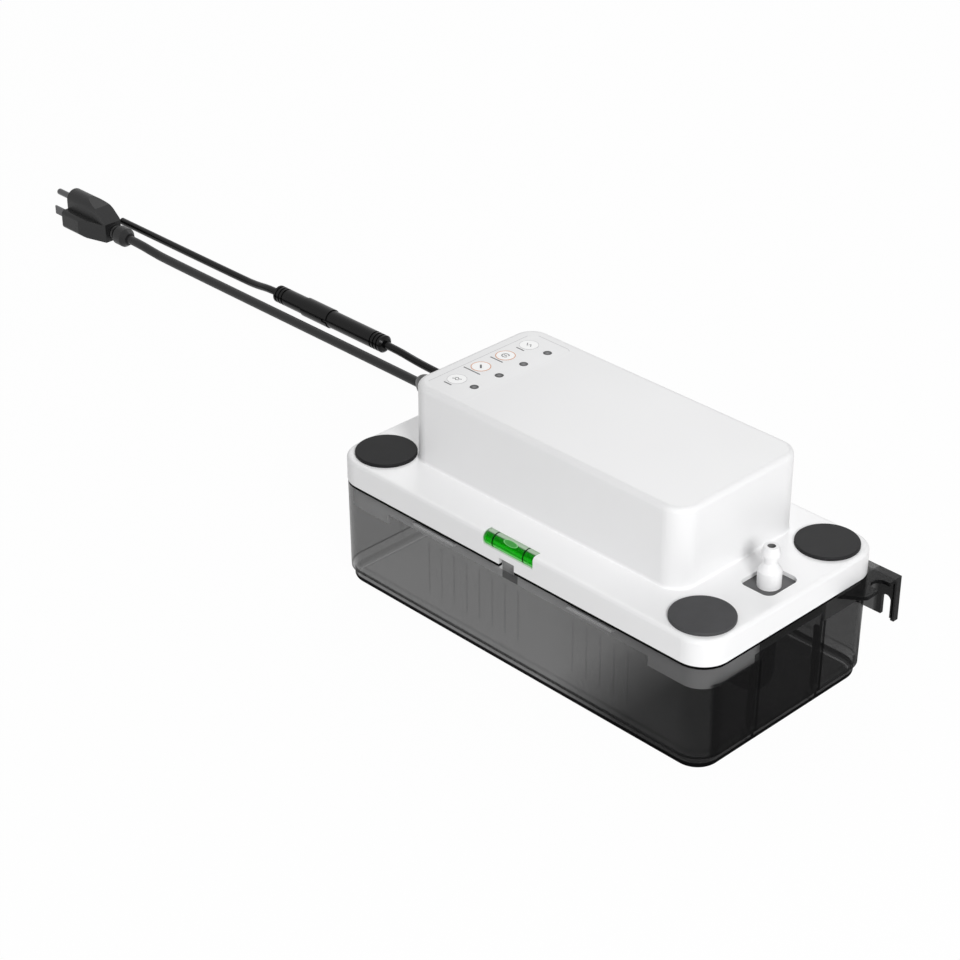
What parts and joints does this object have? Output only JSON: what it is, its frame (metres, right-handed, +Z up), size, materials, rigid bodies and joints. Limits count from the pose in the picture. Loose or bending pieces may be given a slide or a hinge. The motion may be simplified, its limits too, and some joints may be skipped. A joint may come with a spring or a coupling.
{
  "type": "condensate pump",
  "caption": "Tank-type condensate pump: smoky reservoir with wall hangers, white deck and motor housing, plugged inlets, hose-barb outlet, bubble level, mains cord and alarm lead.",
  "frame": {"origin": "centre of the reservoir's flat bottom", "axes": "+X along the length towards the discharge barb, +Y towards the wall hangers, +Z up"},
  "size_m": [0.8245, 0.2168, 0.131],
  "materials": {
    "white_plastic": "satin moulded ABS, white",
    "smoky_plastic": "smoky see-through moulded ABS",
    "grey_plastic": "moulded grey plastic",
    "black_plastic": "moulded black plastic",
    "rubber_plug": "matt dark grey rubber",
    "cord_rubber": "black flexible PVC",
    "vial_clear": "clear acrylic tube",
    "vial_green": "green liquid",
    "marking": "black marking ring",
    "film": "satin polycarbonate film",
    "lens": "smoked lens",
    "led": "diffused epoxy",
    "circuit": "green circuit board",
    "component": "black component case",
    "steel": "bright steel",
    "lamination": "varnished electrical steel",
    "copper": "enamelled copper winding",
    "bronze": "sintered bronze",
    "zinc": "zinc-plated pressed steel",
    "nickel": "nickel-plated brass",
    "foam": "closed-cell foam",
    "magnet": "ferrite",
    "capsule": "glass capsule"
  },
  "bodies": {
    "pump": {"tank": "smoky_plastic", "top_cover": "white_plastic", "vial_tube": "vial_clear", "vial_liquid": "vial_green", "vial_rings": "marking", "panel_overlay": "film", "status_leds": "led", "status_lenses": "lens", "control_board": "circuit", "board_relay": "component", "board_transformer": "component", "board_terminals": "grey_plastic", "board_buzzer": "component", "board_screws": "steel", "chassis": "grey_plastic", "chassis_screws": "steel", "stator_core": "lamination", "coil_bobbin": "black_plastic", "stator_coil": "copper", "lower_bracket": "zinc", "upper_bracket": "zinc", "lower_bearing": "bronze", "upper_bearing": "bronze", "motor_bolts": "steel", "pump_column": "black_plastic", "column_screws": "steel", "volute_plate": "black_plastic", "intake_strainer": "black_plastic", "discharge_pipe": "black_plastic", "check_valve": "white_plastic", "valve_seal": "rubber_plug", "float_stem": "black_plastic", "float_clip": "steel", "alarm_stem": "black_plastic", "alarm_clip": "steel", "reed_switches": "capsule", "power_relief": "cord_rubber", "signal_relief": "cord_rubber", "power_cord": "cord_rubber", "plug_body": "cord_rubber", "plug_blades": "nickel", "ground_pin": "nickel", "signal_lead": "cord_rubber", "connector_socket": "cord_rubber", "connector_plug": "cord_rubber", "connector_collar": "cord_rubber", "signal_extension": "cord_rubber"},
    "rotor": {"motor_shaft": "steel", "rotor_core": "lamination", "cooling_fan": "black_plastic", "impeller": "black_plastic"},
    "run_float": {"run_float": "foam", "run_magnet": "magnet"},
    "alarm_float": {"alarm_float": "foam", "alarm_magnet": "magnet"},
    "check_ball": {"check_ball": "rubber_plug"},
    "inlet_plug_front_left": {"inlet_plug_front_left": "rubber_plug"},
    "inlet_plug_front_right": {"inlet_plug_front_right": "rubber_plug"},
    "inlet_plug_rear_right": {"inlet_plug_rear_right": "rubber_plug"}
  },
  "joints": [
    {"name": "rotor_spin", "type": "hinge", "parent": "pump", "child": "rotor", "pos_m": [0.052, 0.0124, 0.1], "axis": [0, 0, 1], "continuous": true},
    {"name": "run_float_rise", "type": "slide", "parent": "pump", "child": "run_float", "axis": [0, 0, 1], "range_m": [0, 0.022]},
    {"name": "alarm_float_rise", "type": "slide", "parent": "pump", "child": "alarm_float", "axis": [0, 0, 1], "range_m": [0, 0.012]},
    {"name": "check_ball_lift", "type": "slide", "parent": "pump", "child": "check_ball", "axis": [0, 0, 1], "range_m": [0, 0.005]},
    {"name": "inlet_plug_front_left_pull", "type": "slide", "parent": "pump", "child": "inlet_plug_front_left", "axis": [0, 0, 1], "range_m": [0, 0.03]},
    {"name": "inlet_plug_front_right_pull", "type": "slide", "parent": "pump", "child": "inlet_plug_front_right", "axis": [0, 0, 1], "range_m": [0, 0.03]},
    {"name": "inlet_plug_rear_right_pull", "type": "slide", "parent": "pump", "child": "inlet_plug_rear_right", "axis": [0, 0, 1], "range_m": [0, 0.03]}
  ]
}
